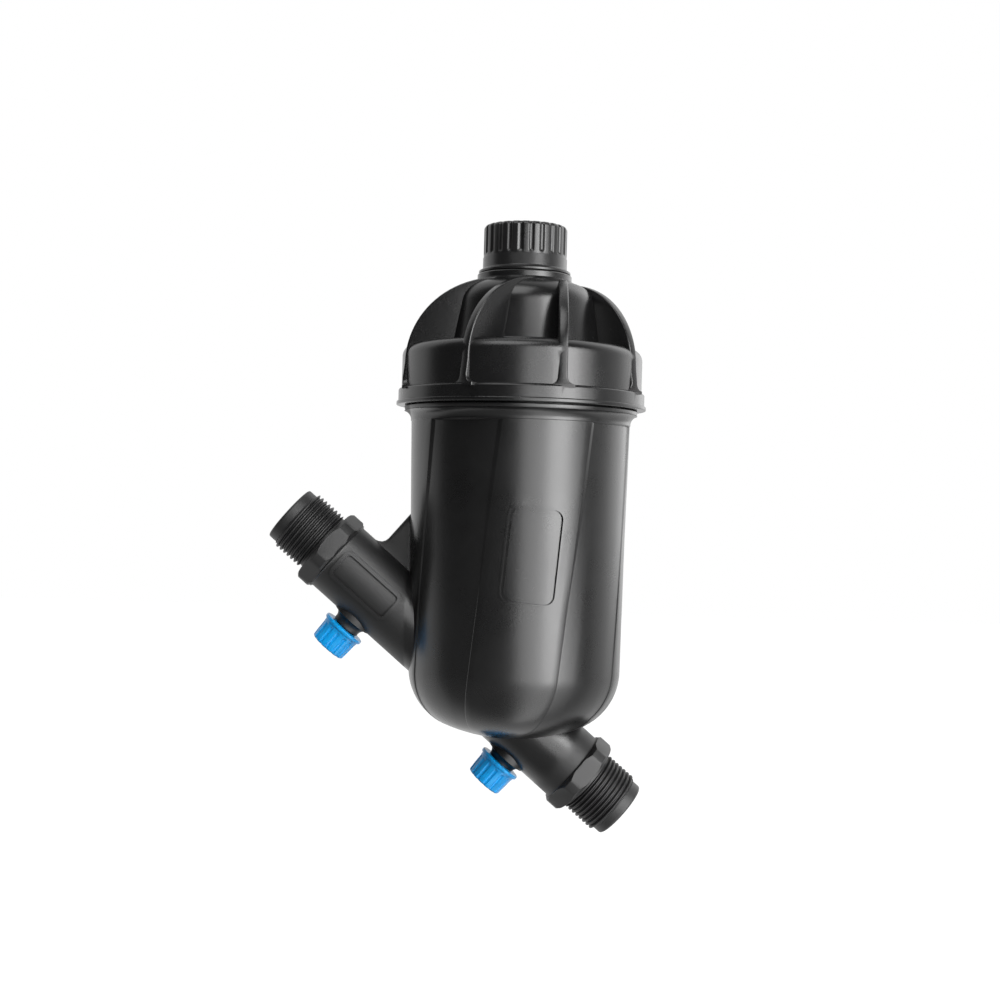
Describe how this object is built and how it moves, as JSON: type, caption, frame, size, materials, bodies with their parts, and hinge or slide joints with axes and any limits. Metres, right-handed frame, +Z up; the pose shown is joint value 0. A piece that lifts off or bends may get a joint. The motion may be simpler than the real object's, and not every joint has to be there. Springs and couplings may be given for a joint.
{
  "type": "inline screen filter",
  "caption": "Slanted-pipe screen filter with a round bowl, finned screw cover, flush cap, pressure port caps and a lift-out screen for a water line.",
  "frame": {"origin": "on the pipe axis, at the outer end of the inlet thread", "axes": "+Z up along the bowl axis, towards the flush cap; +X level, towards the inlet; -Y is the front, with the plates"},
  "size_m": [0.1483, 0.0984, 0.238],
  "materials": {
    "black_body": "satin",
    "black_cover": "satin",
    "black_cap": "satin",
    "blue_cap": "gloss",
    "seal_rubber": "matt",
    "screen_frame": "satin",
    "steel_mesh": "woven"
  },
  "bodies": {
    "housing": {"housing": "black_body"},
    "screen": {"screen_cage": "screen_frame", "screen_mesh": "steel_mesh", "screen_top_ring": "screen_frame", "screen_bottom_ring": "screen_frame", "screen_top_seal": "seal_rubber", "screen_bottom_seal": "seal_rubber"},
    "cover_seal": {"cover_o_ring": "seal_rubber"},
    "cover": {"cover": "black_cover"},
    "flush_seal": {"flush_gasket": "seal_rubber"},
    "flush_cap": {"flush_cap": "black_cap"},
    "outlet_port_seal": {"outlet_port_gasket": "seal_rubber"},
    "outlet_port_cap": {"outlet_port_cap": "blue_cap"},
    "inlet_port_seal": {"inlet_port_gasket": "seal_rubber"},
    "inlet_port_cap": {"inlet_port_cap": "blue_cap"}
  },
  "joints": [
    {"name": "screen_lift", "type": "slide", "parent": "housing", "child": "screen", "axis": [0, 0, 1], "range_m": [0, 0.15]},
    {"name": "cover_rise", "type": "slide", "parent": "screen", "child": "cover_seal", "axis": [0, 0, 1], "range_m": [0, 0.02]},
    {"name": "cover_turn", "type": "hinge", "parent": "cover_seal", "child": "cover", "pos_m": [-0.04051, 0, 0.03448], "axis": [0, 0, 1], "range_deg": [0, 1440]},
    {"name": "flush_cap_rise", "type": "slide", "parent": "cover", "child": "flush_seal", "axis": [0, 0, 1], "range_m": [0, 0.01451]},
    {"name": "flush_cap_turn", "type": "hinge", "parent": "flush_seal", "child": "flush_cap", "pos_m": [-0.04051, 0, 0.03448], "axis": [0, 0, 1], "range_deg": [0, 2880]},
    {"name": "outlet_port_cap_rise", "type": "slide", "parent": "housing", "child": "outlet_port_seal", "axis": [-0.6481, 0, -0.7615], "range_m": [0, 0.00726]},
    {"name": "outlet_port_cap_turn", "type": "hinge", "parent": "outlet_port_seal", "child": "outlet_port_cap", "pos_m": [-0.0955, 0, 0.08127], "axis": [-0.6481, 0, -0.7615], "range_deg": [0, 2880]},
    {"name": "inlet_port_cap_rise", "type": "slide", "parent": "housing", "child": "inlet_port_seal", "axis": [-0.6481, 0, -0.7615], "range_m": [0, 0.00726]},
    {"name": "inlet_port_cap_turn", "type": "hinge", "parent": "inlet_port_seal", "child": "inlet_port_cap", "pos_m": [-0.03343, 0, 0.02845], "axis": [-0.6481, 0, -0.7615], "range_deg": [0, 2880]}
  ],
  "couplings": [
    {"joint": "cover_rise", "follows": "cover_turn", "m_per_rad": 0.00079577},
    {"joint": "flush_cap_rise", "follows": "flush_cap_turn", "m_per_rad": 0.00028871},
    {"joint": "outlet_port_cap_rise", "follows": "outlet_port_cap_turn", "m_per_rad": 0.00014435},
    {"joint": "inlet_port_cap_rise", "follows": "inlet_port_cap_turn", "m_per_rad": 0.00014435}
  ]
}
